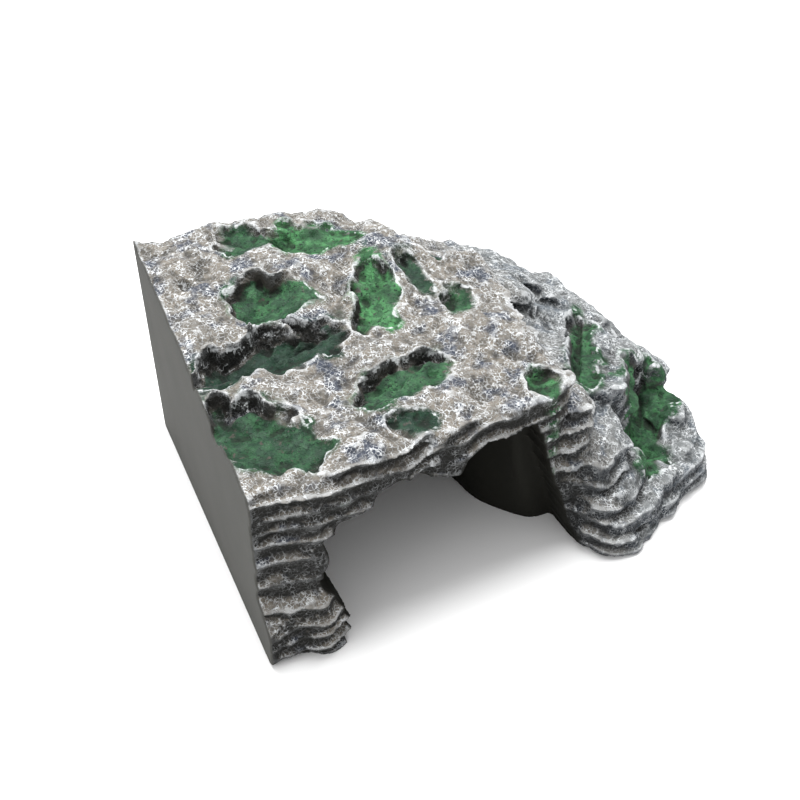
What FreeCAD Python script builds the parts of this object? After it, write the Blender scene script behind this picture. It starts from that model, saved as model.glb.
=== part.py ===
import FreeCAD, Part
import os
import Sketcher

# Resin cave ornament: a hollow rock with a flat left side and a flat back, a cave mouth in front
# and a terraced ramp on the right, with moss lying in its hollows. Millimetres. X runs right along
# the back, Y towards the back, Z up. The origin is the middle of the footprint's box, on the
# surface that the rock stands on.

document = FreeCAD.newDocument("cave_ornament")
sheet = document.addObject("Spreadsheet::Sheet", "size")

# Driving dimensions: name, value and what it is.
DIMENSIONS = [
    # outer box of the rock
    ("left_x", -105, "flat left face"),
    ("right_x", 105, "furthest point of the ramp"),
    ("back_y", 75, "flat back face"),
    ("corner_y", -65, "front corner of the flat left face"),
    ("front_y", -75, "furthest point of the feet"),
    # roof: a plate that falls towards the front
    ("roof_front_z", 73, "top of the roof at the front corner"),
    ("roof_rise", 17, "how much higher the roof is at the back"),
    ("roof_thick", 14, "thickness of the roof"),
    ("roof_right_x", 22, "right edge of the roof"),
    ("roof_step_y", 25, "where the roof's right edge steps in"),
    # walls
    ("side_thick", 12, "thickness of the left wall"),
    ("back_thick", 12, "thickness of the back wall"),
    # cave mouth
    ("lip_y", -50, "back of the lip and of the left pillar"),
    ("lip_band_z", 66, "foot of the lip where the haunch carries it"),
    ("lip_low_z", 55, "lowest point of the lip, over the middle of the mouth"),
    ("jamb_top_z", 62, "top of the right jamb, under the lip"),
    ("haunch_z", 44, "foot of the haunch, on top of the pillar"),
    ("haunch_right_x", -37, "right end of the haunch"),
    ("pillar_right_x", -77, "left side of the mouth"),
    ("foot_z", 22, "top of the pillar's foot"),
    ("jamb_x", 23, "right side of the mouth"),
    # ramp
    ("terrace_y", -36, "front of the terraces"),
    ("shoulder_x", 38, "right edge of the shoulder"),
    ("upper_z", 52, "top of the upper terrace, at the shoulder"),
    ("upper_right_x", 80, "right edge of the upper terrace"),
    ("upper_fall", 13, "how far the upper terrace falls towards its right edge"),
    ("lower_z", 30, "top of the lower terrace"),
    ("tongue_z", 47, "top of the tongue"),
    ("slab_z", 15, "top of the base slab"),
    ("terrace_thick", 13, "thickness of the terraces"),
    # moss
    ("moss_thick", 1.4, "thickness of a moss patch"),
    ("moss_edge", 0.25, "how far below the hollow's rim a patch ends, as a part of its depth"),
]

for row, (alias, value, meaning) in enumerate(DIMENSIONS, start=1):
    sheet.set(f"A{row}", alias)
    sheet.set(f"B{row}", str(value))
    sheet.set(f"C{row}", meaning)
    sheet.setAlias(f"B{row}", alias)
document.recompute()

ABOVE_ALL = "size.roof_front_z + 2 * size.roof_rise"
INNER_LEFT = "size.left_x + size.side_thick"
INNER_BACK = "size.back_y - size.back_thick"


def roof_top(y):
    """Height of the roof's upper face at a place along Y, as an expression."""
    return f"(size.roof_front_z + size.roof_rise * (({y}) - size.corner_y) / (size.back_y - size.corner_y))"


def roof_underside(y):
    return roof_top(y) + " - size.roof_thick"


def value_of(expression):
    return float(sheet.evalExpression(str(expression)))


# ---------------------------------------------------------------------------------------------
# Building blocks
# ---------------------------------------------------------------------------------------------

def outline_body(label, plane_role, corners, start, length):
    """A body: an outline on an origin plane, each corner bound to its expressions, and its pad."""
    body = document.addObject("PartDesign::Body", label)
    plane = [feature for feature in body.Origin.OriginFeatures if feature.Role == plane_role][0]
    sketch = body.newObject("Sketcher::SketchObject", label + "_outline")
    sketch.AttachmentSupport = [(plane, "")]
    sketch.MapMode = "FlatFace"
    sketch.setExpression("AttachmentOffset.Base.z", str(start))
    points = [FreeCAD.Vector(value_of(across), value_of(up), 0) for across, up in corners]
    for index, point in enumerate(points):
        sketch.addGeometry(Part.LineSegment(point, points[(index + 1) % len(points)]), False)
    for index, (across, up) in enumerate(corners):
        following = (index + 1) % len(points)
        sketch.addConstraint(Sketcher.Constraint("Coincident", index, 2, following, 1))
        for kind, expression in (("DistanceX", across), ("DistanceY", up)):
            here = value_of(expression)
            place = sketch.addConstraint(Sketcher.Constraint(kind, -1, 1, index, 1, here))
            sketch.setExpression(f"Constraints[{place}]", str(expression))
    pad = body.newObject("PartDesign::Pad", label + "_pad")
    pad.Profile = sketch
    pad.setExpression("Length", length)
    body.Tip = pad
    return body


def along_x(label, corners, left, right):
    """An outline in Y and Z, carried from left to right."""
    return outline_body(label, "YZ_Plane", corners, left, f"({right}) - ({left})")


def along_y(label, corners, front, back):
    """An outline in X and Z, carried from back to front."""
    return outline_body(label, "XZ_Plane", corners, f"-({back})", f"({back}) - ({front})")


def along_z(label, corners, low, high):
    """An outline in X and Y, carried upwards."""
    return outline_body(label, "XY_Plane", corners, low, f"({high}) - ({low})")


def ellipsoid(label, centre, radii, turn=0):
    """An ellipsoid: expressions for its centre and its radii along X, Y and Z, turned about Z."""
    piece = document.addObject("Part::Ellipsoid", label)
    piece.Angle1 = -90
    for axis, expression in zip("xyz", centre):
        piece.setExpression(f"Placement.Base.{axis}", str(expression))
    for name, expression in zip(("Radius2", "Radius3", "Radius1"), radii):
        piece.setExpression(name, str(expression))
    piece.setExpression("Placement.Rotation.Angle", str(turn))
    return piece


def common(label, *pieces):
    piece = document.addObject("Part::MultiCommon", label)
    piece.Shapes = list(pieces)
    return piece


def fused(label, *pieces):
    piece = document.addObject("Part::MultiFuse", label)
    piece.Shapes = list(pieces)
    return piece


def cut(label, base, tool):
    piece = document.addObject("Part::Cut", label)
    piece.Base = base
    piece.Tool = tool
    return piece


# ---------------------------------------------------------------------------------------------
# Hollows, and the moss that lies in them
# ---------------------------------------------------------------------------------------------

# Each hollow of the roof: name, middle in X and Y, half width, half length, depth and turn about Z.
ROOF_HOLLOWS = [
    ("back_left", -69, 60, 10, 9, 6, 0),
    ("back_middle", -43, 55, 18, 13, 7, 0),
    ("round", -65, 23, 14, 15, 7, 0),
    ("oval", -31, 12, 11, 18, 7, -20),
    ("slot", -78, -3, 33, 8, 8, 8),
    ("centre", -39, -30, 19, 9, 7, 12),
    ("front", -46, -50, 8, 7, 5, 0),
    ("corner", -89, -42, 20, 19, 8, 0),
    ("small", 3, 2, 6, 8, 5, 0),
    ("lip_end", 9, -50, 7, 7, 4, 0),
    ("channel", -9, 20, 5, 13, 4, 10),
]

# The same for the ramp, with the height of the rock that each hollow is in.
RAMP_HOLLOWS = [
    ("shoulder", 8, 44, 6, 10, 4, 20, 72),
    ("upper_valley", 47, -12, 8, 29, 9, -27, 50),
    ("lower_valley", 72, -33, 12, 23, 10, -30, 28),
]


def hollow(name, x, y, half_width, half_length, depth, turn, z):
    return ellipsoid(name + "_hollow", (x, y, z), (half_width, half_length, depth), turn)


def moss_patch(name, x, y, half_width, half_length, depth, turn, z, rock):
    """A skin of moss on a hollow's floor, cut off inside the rock below the hollow's rim."""
    floor = hollow(name + "_floor", x, y, half_width, half_length, depth, turn, z)
    surface = hollow(name + "_surface", x, y, half_width, half_length, depth, turn,
                     f"{z} + size.moss_thick")
    rim = document.addObject("Part::Box", name + "_rim")
    reach = half_width + half_length
    for axis, expression in zip("xyz", (x - reach, y - reach, f"{z} - {2 * depth}")):
        rim.setExpression(f"Placement.Base.{axis}", str(expression))
    rim.Length = 2 * reach
    rim.Width = 2 * reach
    rim.setExpression("Height", f"{2 * depth} - {depth} * size.moss_edge")
    skin = cut(name + "_skin", floor, surface)
    return common("moss_" + name, skin, rim, rock)


roof_hollow_places = [hollow_row + (roof_top(hollow_row[2]),) for hollow_row in ROOF_HOLLOWS]
roof_hollows = fused("roof_hollows", *[hollow(*place) for place in roof_hollow_places])
ramp_hollows = fused("ramp_hollows", *[hollow(*place) for place in RAMP_HOLLOWS])

# ---------------------------------------------------------------------------------------------
# Walls
# ---------------------------------------------------------------------------------------------

side_blank = along_x("side_blank", [
    ("size.corner_y", 0),
    ("size.back_y", 0),
    ("size.back_y", roof_top("size.back_y")),
    ("size.corner_y", roof_top("size.corner_y")),
], "size.left_x", INNER_LEFT)
side_wall = cut("side_wall", side_blank, roof_hollows)

back_blank = along_y("back_blank", [
    (INNER_LEFT, 0),
    ("size.roof_right_x", 0),
    ("size.roof_right_x", "size.upper_z + 15"),
    ("size.roof_right_x - 26", "size.upper_z + 28"),
    ("size.roof_right_x - 45", roof_top("size.back_y") + " - 3"),
    ("size.roof_right_x - 73", roof_top("size.back_y") + " + 1"),
    (INNER_LEFT, roof_top("size.back_y")),
], INNER_BACK, "size.back_y")
back_wall = cut("back_wall", back_blank, roof_hollows)

ramp_back_wall = along_y("ramp_back_wall", [
    ("size.roof_right_x", 0),
    ("size.right_x - 6", 0),
    ("size.right_x - 8", "size.slab_z + 1"),
    ("size.upper_right_x - 2", "size.lower_z + 1"),
    ("size.shoulder_x + 11", "size.upper_z + 3"),
    ("size.shoulder_x - 6", "size.upper_z + 9"),
    ("size.roof_right_x", "size.upper_z + 15"),
], INNER_BACK, "size.back_y")

# The wall inside the cave leans back from the jamb to the left, so the cave narrows.
inner_wall_plan = along_z("inner_wall_plan", [
    ("size.jamb_x - 4", "size.lip_y"),
    ("size.jamb_x", "size.lip_y"),
    ("size.jamb_x", "size.terrace_y"),
    ("size.jamb_x - 10", "size.terrace_y + 18"),
    ("size.jamb_x - 17", "size.roof_step_y"),
    ("size.jamb_x - 29", INNER_BACK),
    ("size.jamb_x - 43", INNER_BACK),
    ("size.jamb_x - 31", "size.roof_step_y"),
    ("size.jamb_x - 24", "size.terrace_y + 13"),
    ("size.jamb_x - 11", "size.terrace_y - 5"),
], 0, ABOVE_ALL)
under_roof = along_x("under_roof", [
    ("size.lip_y", 0),
    (INNER_BACK, 0),
    (INNER_BACK, roof_underside(INNER_BACK)),
    ("size.lip_y", roof_underside("size.lip_y")),
], INNER_LEFT, "size.shoulder_x")
cave_inner_wall = common("cave_inner_wall", inner_wall_plan, under_roof)

# ---------------------------------------------------------------------------------------------
# Roof
# ---------------------------------------------------------------------------------------------

roof_plan = along_z("roof_plan", [
    (INNER_LEFT, "size.lip_y"),
    ("size.roof_right_x", "size.lip_y"),
    ("size.roof_right_x", "size.roof_step_y"),
    ("size.roof_right_x - 20", "size.roof_step_y"),
    ("size.roof_right_x - 36", INNER_BACK),
    (INNER_LEFT, INNER_BACK),
], 0, ABOVE_ALL)
roof_section = along_x("roof_section", [
    ("size.lip_y", roof_underside("size.lip_y")),
    (INNER_BACK, roof_underside(INNER_BACK)),
    (INNER_BACK, roof_top(INNER_BACK)),
    ("size.lip_y", roof_top("size.lip_y")),
], INNER_LEFT, "size.roof_right_x")
roof_blank = common("roof_blank", roof_plan, roof_section)
roof_slab = cut("roof_slab", roof_blank, roof_hollows)

# The front of the lip and of the haunch below it: layered rock, with a groove between two layers.
front_section = along_x("front_section", [
    ("size.lip_y", "size.haunch_z"),
    ("size.lip_y", roof_top("size.lip_y")),
    ("size.corner_y + 1", roof_top("size.corner_y + 1")),
    ("size.corner_y", "size.roof_front_z - 3"),
    ("size.corner_y + 3", "size.lip_band_z"),
    ("size.corner_y + 1", "size.lip_band_z - 6"),
    ("size.corner_y + 3", "size.haunch_z"),
], "size.left_x", "size.roof_right_x + size.side_thick")
lip_outline = along_y("lip_outline", [
    (INNER_LEFT, "size.lip_band_z"),
    ("size.haunch_right_x", "size.lip_band_z"),
    ("size.haunch_right_x", "size.lip_low_z + 1"),
    ("size.haunch_right_x + 8", "size.lip_low_z"),
    ("size.haunch_right_x + 20", "size.lip_low_z + 6"),
    ("size.haunch_right_x + 37", "size.jamb_top_z"),
    ("size.roof_right_x", "size.jamb_top_z"),
    ("size.roof_right_x", ABOVE_ALL),
    (INNER_LEFT, ABOVE_ALL),
], "size.front_y", "size.lip_y")
lip_blank = common("lip_blank", lip_outline, front_section)
mouth_lip = cut("mouth_lip", lip_blank, roof_hollows)

haunch_outline = along_y("haunch_outline", [
    (INNER_LEFT, "size.haunch_z"),
    ("size.pillar_right_x - 4", "size.haunch_z"),
    ("size.pillar_right_x", "size.haunch_z + 7"),
    ("size.pillar_right_x + 14", "size.haunch_z + 9"),
    ("size.pillar_right_x + 20", "size.lip_low_z + 3"),
    ("size.haunch_right_x", "size.lip_low_z + 1"),
    ("size.haunch_right_x", "size.lip_band_z"),
    (INNER_LEFT, "size.lip_band_z"),
], "size.front_y", "size.lip_y")
arch_haunch = common("arch_haunch", haunch_outline, front_section)

# The right side of the mouth leans in over it.
right_jamb = along_y("right_jamb", [
    ("size.jamb_x", 0),
    ("size.jamb_x", "size.jamb_top_z"),
    ("size.jamb_x - 22", "size.jamb_top_z"),
    ("size.jamb_x - 17", "size.jamb_top_z - 10"),
    ("size.jamb_x - 7", "size.foot_z"),
    ("size.jamb_x - 3", "0.4 * size.foot_z"),
], "size.corner_y + 8", "size.lip_y")

# ---------------------------------------------------------------------------------------------
# Left pillar: it wraps round the front end of the left wall and bulges at its foot
# ---------------------------------------------------------------------------------------------


def pillar_section(label, bulge, reach, low, high):
    """One stretch of the pillar: how far it bulges forwards, and how far it reaches right."""
    return along_z(label, [
        ("size.left_x", "size.corner_y"),
        ("size.left_x + 8", f"size.corner_y - 0.6 * {bulge}"),
        ("size.left_x + 18", f"size.corner_y - {bulge}"),
        (f"size.pillar_right_x - 3 + {reach}", f"size.corner_y - 0.8 * {bulge}"),
        (f"size.pillar_right_x + {reach}", "size.corner_y"),
        (f"size.pillar_right_x - 1 + {reach}", "size.lip_y"),
        (INNER_LEFT, "size.lip_y"),
        (INNER_LEFT, "size.corner_y"),
    ], low, high)


pillar_foot = pillar_section("pillar_foot", "(size.corner_y - size.front_y)", 0, 0, "size.foot_z")
pillar_shaft = pillar_section("pillar_shaft", 6, -4, "size.foot_z", "size.haunch_z")

# ---------------------------------------------------------------------------------------------
# Ramp: the shoulder, two terraces, and the ledges in front of them
# ---------------------------------------------------------------------------------------------

ramp_plan = along_z("ramp_plan", [
    ("size.roof_right_x", "size.terrace_y"),
    ("size.right_x - 6", "size.terrace_y"),
    ("size.right_x", "size.terrace_y + 24"),
    ("size.right_x", "size.roof_step_y - 7"),
    ("size.right_x - 3", "size.roof_step_y + 17"),
    ("size.right_x - 7", INNER_BACK),
    ("size.roof_right_x - 36", INNER_BACK),
    ("size.roof_right_x - 20", "size.roof_step_y"),
    ("size.roof_right_x", "size.roof_step_y"),
], 0, ABOVE_ALL)

shoulder_section = along_y("shoulder_section", [
    ("size.shoulder_x", "size.upper_z - size.terrace_thick"),
    ("size.shoulder_x", "size.upper_z"),
    ("size.shoulder_x - 6", "size.upper_z + 9"),
    ("size.roof_right_x", "size.upper_z + 18"),
    ("size.roof_right_x - 26", "size.upper_z + 28"),
    ("size.roof_right_x - 36", "size.upper_z + 29"),
    ("size.roof_right_x - 36", "size.upper_z + 14"),
    ("size.roof_right_x", "size.upper_z"),
], "size.terrace_y", INNER_BACK)
shoulder_blank = common("shoulder_blank", shoulder_section, ramp_plan)
shoulder_under_roof = cut("shoulder_under_roof", shoulder_blank, cave_inner_wall)
ramp_shoulder = cut("ramp_shoulder", shoulder_under_roof, ramp_hollows)

UPPER_RIM_Z = "size.upper_z - size.upper_fall"
upper_section = along_y("upper_section", [
    ("size.shoulder_x", "size.upper_z - size.terrace_thick"),
    ("size.upper_right_x", UPPER_RIM_Z + " - size.terrace_thick"),
    ("size.upper_right_x", UPPER_RIM_Z),
    ("size.upper_right_x - 18", "size.upper_z - 4"),
    ("size.shoulder_x", "size.upper_z"),
], "size.terrace_y", INNER_BACK)
upper_terrace = cut("upper_terrace", upper_section, ramp_hollows)

lower_section = along_y("lower_section", [
    ("size.upper_right_x", UPPER_RIM_Z + " - size.terrace_thick"),
    ("size.right_x - 15", "size.slab_z - 3"),
    ("size.right_x - 12", 0),
    ("size.right_x", 0),
    ("size.right_x - 2", "size.slab_z - 5"),
    ("size.right_x - 8", "size.lower_z - 8"),
    ("size.upper_right_x + 6", "size.lower_z"),
    ("size.upper_right_x", UPPER_RIM_Z),
], "size.terrace_y", INNER_BACK)
lower_blank = common("lower_blank", lower_section, ramp_plan)
lobe_ball = ellipsoid("lobe_ball", ("size.right_x - 16", "size.terrace_y + 14", "size.slab_z"),
                      (14, 13, "size.lower_z - size.slab_z"))
lobe_bed = along_z("lobe_bed", [
    ("size.upper_right_x", "size.terrace_y"),
    ("size.right_x", "size.terrace_y"),
    ("size.right_x", "size.roof_step_y"),
    ("size.upper_right_x", "size.roof_step_y"),
], "size.slab_z", ABOVE_ALL)
outer_lobe_blank = common("outer_lobe_blank", lobe_ball, lobe_bed)
outer_lobe = cut("outer_lobe", outer_lobe_blank, ramp_hollows)
lower_hollowed = cut("lower_hollowed", lower_blank, ramp_hollows)
lower_terrace = cut("lower_terrace", lower_hollowed, outer_lobe_blank)

base_slab = along_z("base_slab", [
    ("size.jamb_x", "size.lip_y - 6"),
    ("size.jamb_x + 5", "size.front_y + 1"),
    ("size.jamb_x + 19", "size.front_y"),
    ("size.jamb_x + 35", "size.front_y + 5"),
    ("size.right_x - 21", "size.front_y + 16"),
    ("size.right_x - 8", "size.front_y + 28"),
    ("size.right_x - 6", "size.terrace_y"),
    ("size.jamb_x", "size.terrace_y"),
], 0, "size.slab_z")

lower_ledge = along_z("lower_ledge", [
    ("size.jamb_x + 1", "size.lip_y - 6"),
    ("size.jamb_x + 4", "size.front_y + 7"),
    ("size.jamb_x + 14", "size.front_y + 7"),
    ("size.jamb_x + 26", "size.front_y + 11"),
    ("size.jamb_x + 35", "size.front_y + 21"),
    ("size.jamb_x + 38", "size.terrace_y"),
    ("size.jamb_x", "size.terrace_y"),
], "size.slab_z", "size.lower_z")

tongue_ledge = along_z("tongue_ledge", [
    ("size.jamb_x", "size.lip_y - 5"),
    ("size.jamb_x + 6", "size.front_y + 14"),
    ("size.jamb_x + 15", "size.front_y + 14"),
    ("size.jamb_x + 25", "size.front_y + 21"),
    ("size.jamb_x + 28", "size.front_y + 31"),
    ("size.jamb_x + 38", "size.terrace_y"),
    ("size.jamb_x", "size.terrace_y"),
], "size.lower_z", "size.tongue_z")

head_plan = along_z("head_plan", [
    ("size.jamb_x - 1", "size.lip_y - 6"),
    ("size.jamb_x + 8", "size.lip_y - 5"),
    ("size.shoulder_x - 1", "size.lip_y + 4"),
    ("size.shoulder_x", "size.terrace_y"),
    ("size.jamb_x - 1", "size.terrace_y"),
], "size.tongue_z", ABOVE_ALL)
head_section = along_y("head_section", [
    ("size.jamb_x - 1", "size.tongue_z"),
    ("size.shoulder_x", "size.tongue_z"),
    ("size.shoulder_x", "size.upper_z"),
    ("size.shoulder_x - 8", "size.upper_z + 9"),
    ("size.jamb_x - 1", "size.upper_z + 19"),
], "size.front_y", "size.terrace_y")
jamb_head = common("jamb_head", head_plan, head_section)

# The floor of the lower valley, which runs back under the terraces.
valley_plan = along_z("valley_plan", [
    ("size.jamb_x + 38", "size.terrace_y + 26"),
    ("size.jamb_x + 38", "size.terrace_y"),
    ("size.jamb_x + 36", "size.terrace_y - 16"),
    ("size.right_x - 20", "size.terrace_y - 14"),
    ("size.right_x - 10", "size.terrace_y - 6"),
    ("size.right_x - 8", "size.terrace_y"),
    ("size.right_x - 14", "size.terrace_y + 26"),
], "size.slab_z", "size.lower_z")
terrace_blanks = fused("terrace_blanks", upper_section, lower_blank, outer_lobe_blank)
front_terrace_blank = cut("front_terrace_blank", valley_plan, terrace_blanks)
front_terrace = cut("front_terrace", front_terrace_blank, ramp_hollows)

# ---------------------------------------------------------------------------------------------
# Moss
# ---------------------------------------------------------------------------------------------

rock_beds = fused("rock_beds", side_blank, back_blank, roof_blank, lip_blank)
upper_beds = fused("upper_beds", shoulder_under_roof, upper_section)
moss = [moss_patch(*place, rock_beds) for place in roof_hollow_places]
for place, ramp_rock in zip(RAMP_HOLLOWS, (shoulder_under_roof, upper_beds, valley_plan)):
    moss.append(moss_patch(*place, ramp_rock))

# ---------------------------------------------------------------------------------------------
# Check and write
# ---------------------------------------------------------------------------------------------

ROCK = [side_wall, back_wall, ramp_back_wall, cave_inner_wall, roof_slab, mouth_lip, arch_haunch,
        pillar_shaft, pillar_foot, right_jamb, ramp_shoulder, upper_terrace, lower_terrace, outer_lobe,
        front_terrace, base_slab, lower_ledge, tongue_ledge, jamb_head]

document.recompute()
for feature in document.Objects:
    if "Invalid" in feature.State or "Error" in feature.State:
        raise RuntimeError(f"{feature.Label} failed: {feature.State}")

os.makedirs("parts", exist_ok=True)
for piece in ROCK + moss:
    shape = piece.Shape
    if shape.isNull() or not shape.isValid() or not shape.Solids:
        raise RuntimeError(f"{piece.Label} is not a valid solid")
    box = shape.BoundBox
    print(f"{piece.Label:18s} solids {len(shape.Solids)}  volume {shape.Volume / 1000:8.2f} cm3"
          f"  x {box.XMin:7.1f} {box.XMax:7.1f}  y {box.YMin:7.1f} {box.YMax:7.1f}"
          f"  z {box.ZMin:6.1f} {box.ZMax:6.1f}")
    shape.exportStep(os.path.join("parts", piece.Label + ".step"))
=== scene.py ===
"""Looks of the resin cave ornament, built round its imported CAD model.

The whole casting is one signed distance field in millimetres, sampled on a grid: rounded slabs of layered
rock with pits sunk in their tops, less the cave and the pocket under them. Each CAD section of the rock is
cut out of that one field along its own CAD box, so the sections meet without a seam, as in one casting. The
moss patches are thin shells that follow the same field. Plan points are in millimetres from the left front
corner of the CAD box, and heights are from the floor.
"""

import itertools
import math
from collections import namedtuple

import bpy
import numpy as np
import openvdb
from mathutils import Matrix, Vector


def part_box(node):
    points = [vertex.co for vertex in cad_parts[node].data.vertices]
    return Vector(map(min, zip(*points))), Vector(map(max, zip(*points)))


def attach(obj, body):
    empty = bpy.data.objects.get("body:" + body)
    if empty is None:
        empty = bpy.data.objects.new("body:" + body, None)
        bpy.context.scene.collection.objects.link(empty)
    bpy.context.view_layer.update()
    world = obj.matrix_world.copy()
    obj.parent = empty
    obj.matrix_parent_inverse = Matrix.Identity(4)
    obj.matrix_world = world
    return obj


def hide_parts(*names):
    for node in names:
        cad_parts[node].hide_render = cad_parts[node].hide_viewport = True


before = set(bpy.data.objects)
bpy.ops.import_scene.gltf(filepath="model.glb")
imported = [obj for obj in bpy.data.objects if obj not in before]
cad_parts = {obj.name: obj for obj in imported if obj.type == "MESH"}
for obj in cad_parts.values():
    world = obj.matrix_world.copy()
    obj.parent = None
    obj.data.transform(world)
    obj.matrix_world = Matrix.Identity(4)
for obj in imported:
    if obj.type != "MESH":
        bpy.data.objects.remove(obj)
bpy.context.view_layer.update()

MM = 0.001
STEP = 0.5
# The casting's field is cut off at this distance from its surface.
FAR = 9.0
# The lowest and highest corner of each CAD node, in millimetres.
BOXES = {}
for node_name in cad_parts:
    low_corner, high_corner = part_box(node_name)
    BOXES[node_name] = (np.array(low_corner) / MM, np.array(high_corner) / MM)
LEFT = BOXES["side_wall"][0][0]
RIGHT = BOXES["lower_terrace"][1][0]
FRONT = BOXES["pillar_foot"][0][1]
BACK = BOXES["back_wall"][1][1]
TOP = BOXES["back_wall"][1][2]
LIP_Y = BOXES["mouth_lip"][0][1]
ROOF_FRONT_Z = 73.0
ROOF_SLOPE = (BOXES["roof_slab"][1][2] - BOXES["mouth_lip"][1][2]) / (
    BOXES["roof_slab"][1][1] - BOXES["mouth_lip"][1][1])


# ---- sampling grid ----

def samples(low, high, middle):
    """Places from low to high, STEP apart, with middle half way between two of them."""
    first = math.floor((low - middle) / STEP)
    last = math.ceil((high - middle) / STEP)
    return (middle + (np.arange(first, last) + 0.5) * STEP).astype(np.float32)


# Room for the grid round the CAD box.
BESIDE = 3
IN_FRONT = 4
ABOVE = 5
AXES = (samples(LEFT - BESIDE, RIGHT + BESIDE, LEFT),
        samples(FRONT - IN_FRONT, BACK + BESIDE, BACK),
        samples(-BESIDE, TOP + ABOVE, 0))
ORIGIN = np.array([axis[0] for axis in AXES])
SHAPE = tuple(len(axis) for axis in AXES)
# The samples' places, shaped so that X2 and Y2 spread over a plan and Z3 over space.
X2 = AXES[0][:, None]
Y2 = AXES[1][None, :]
Z3 = AXES[2][None, None, :]


def window(low, high):
    """Slices of the grid that cover the box from low to high."""
    parts = []
    for axis, start, end in zip(AXES, low, high):
        first, last = np.searchsorted(axis, (start, end))
        parts.append(slice(max(first - 1, 0), min(last + 1, len(axis))))
    return tuple(parts)


# ---- noise and rounding ----

# Where the noise lattices start, and the gains which bring their spread to about 1.
LATTICE_MARGIN = 10
LATTICE_START = (LEFT - LATTICE_MARGIN, FRONT - LATTICE_MARGIN, -LATTICE_MARGIN)
PLAN_GAIN = 2.1
SPACE_GAIN = 3


def lattice(seed, cell, axes, gain):
    """Random numbers, one every cell along each of the axes, with some to spare at both ends."""
    counts = [int((axis[-1] - axis[0] + 2 * LATTICE_MARGIN) / cell) + 6 for axis in axes]
    return np.random.default_rng(seed).normal(0, gain, counts).astype(np.float32)


def spread(values, number, cell):
    """Lattice values along the axis of that number, as a cubic B-spline at the axis's samples."""
    place = (AXES[number] - LATTICE_START[number]) / cell
    knot = np.floor(place).astype(int)
    part = (place - knot).astype(np.float32)
    weights = ((1 - part) ** 3,
               3 * part ** 3 - 6 * part ** 2 + 4,
               1 + 3 * part + 3 * part ** 2 - 3 * part ** 3,
               part ** 3)
    shape = [1] * values.ndim
    shape[number] = -1
    total = 0
    for shift, weight in enumerate(weights):
        total = total + np.take(values, knot + shift, number) * (weight / 6).reshape(shape)
    return total


def plan_noise(seed, cell):
    """Smooth noise in plan with a spread of about 1."""
    values = lattice(seed, cell, AXES[:2], PLAN_GAIN)
    for number in (0, 1):
        values = spread(values, number, cell)
    return values


def noise(seed, cell):
    """Smooth noise in space with a spread of about 1."""
    values = lattice(seed, cell, AXES, SPACE_GAIN)
    for number in (2, 1, 0):
        values = spread(values, number, cell)
    return values


def waves(noise_kind, seed, *heights_and_sizes):
    """Noise with several sizes of wave at once, each given as its height and its size in millimetres."""
    return sum(height * noise_kind(seed + number, size)
               for number, (height, size) in enumerate(heights_and_sizes))


def blurred(field, reach, step):
    """A field, blurred by a Gaussian of that reach along each of its axes."""
    radius = math.ceil(2.2 * reach / step)
    shifts = range(-radius, radius + 1)
    weights = np.exp(-0.5 * (np.array(shifts) * step / reach) ** 2).astype(np.float32)
    weights = weights / weights.sum()
    for number in range(field.ndim):
        field = sum(weight * np.roll(field, shift, number) for shift, weight in zip(shifts, weights))
    return field


def lowest_near(field, reach):
    """The lowest value of a field in plan within a square of that reach."""
    radius = round(reach / STEP)
    for number in range(field.ndim):
        field = np.minimum.reduce([np.roll(field, shift, number) for shift in range(-radius, radius + 1)])
    return field


def smooth_step(value, low, high):
    """0 below low, 1 above high, with a soft change between."""
    part = np.clip((value - low) / (high - low), 0, 1)
    return part * part * (3 - 2 * part)


def smooth_min(a, b, reach):
    """The smaller of two fields, with a fillet of that reach."""
    part = np.clip(0.5 + 0.5 * (b - a) / reach, 0, 1)
    return b + (a - b) * part - reach * part * (1 - part)


def rounded_max(a, b, edge):
    """Where both fields are inside, with the corner between them rounded to that radius."""
    over = np.hypot(np.maximum(a + edge, 0), np.maximum(b + edge, 0))
    return over + np.minimum(np.maximum(a, b), -edge)


def rounded_outline(corners):
    """A closed outline with its corners cut off twice, so that it runs round them."""
    points = np.array(corners, float)
    for longest_cut in (3.5, 1.2):
        edge = np.roll(points, -1, 0) - points
        share = np.minimum(0.25, longest_cut / np.linalg.norm(edge, axis=1))[:, None]
        points = np.stack((points + share * edge, points + (1 - share) * edge), 1).reshape(-1, 2)
    return points


def outline_distance(across, along, corners):
    """Distance from a closed outline, negative inside it."""
    nearest = np.full(np.broadcast(across, along).shape, np.inf, np.float32)
    inside = np.zeros(nearest.shape, bool)
    points = rounded_outline(corners)
    for (ax, ay), (bx, by) in zip(points, np.roll(points, -1, 0)):
        dx, dy = bx - ax, by - ay
        part = np.clip(((across - ax) * dx + (along - ay) * dy) / (dx * dx + dy * dy), 0, 1)
        nearest = np.minimum(nearest, (across - ax - part * dx) ** 2 + (along - ay - part * dy) ** 2)
        if ay != by:
            beside = across < ax + (along - ay) * dx / dy
            inside ^= ((ay > along) != (by > along)) & beside
    return np.sqrt(nearest) * np.where(inside, -1, 1).astype(np.float32)


# ---- rock in layers ----

# Heights of the ridges between the layers, how deep the scoops are against the layers' thickness, and the
# ridge height that counts as level.
LAYER_EDGES = (-6, -1, 5, 11.5, 17, 23.5, 33, 43, 51, 57, 62.5, 69.5, 77, 84, 91, 98)
LAYER_DEPTH = 0.36
MEAN_RIDGE = 0.45
# Places in plan as the slabs see them, shifted by waves, so that their straight outlines become uneven.
PLAN_X = X2 - LEFT + waves(plan_noise, 11, (1.1, 13), (0.5, 5))
PLAN_Y = Y2 - FRONT + waves(plan_noise, 13, (1.1, 13), (0.5, 5))


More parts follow.
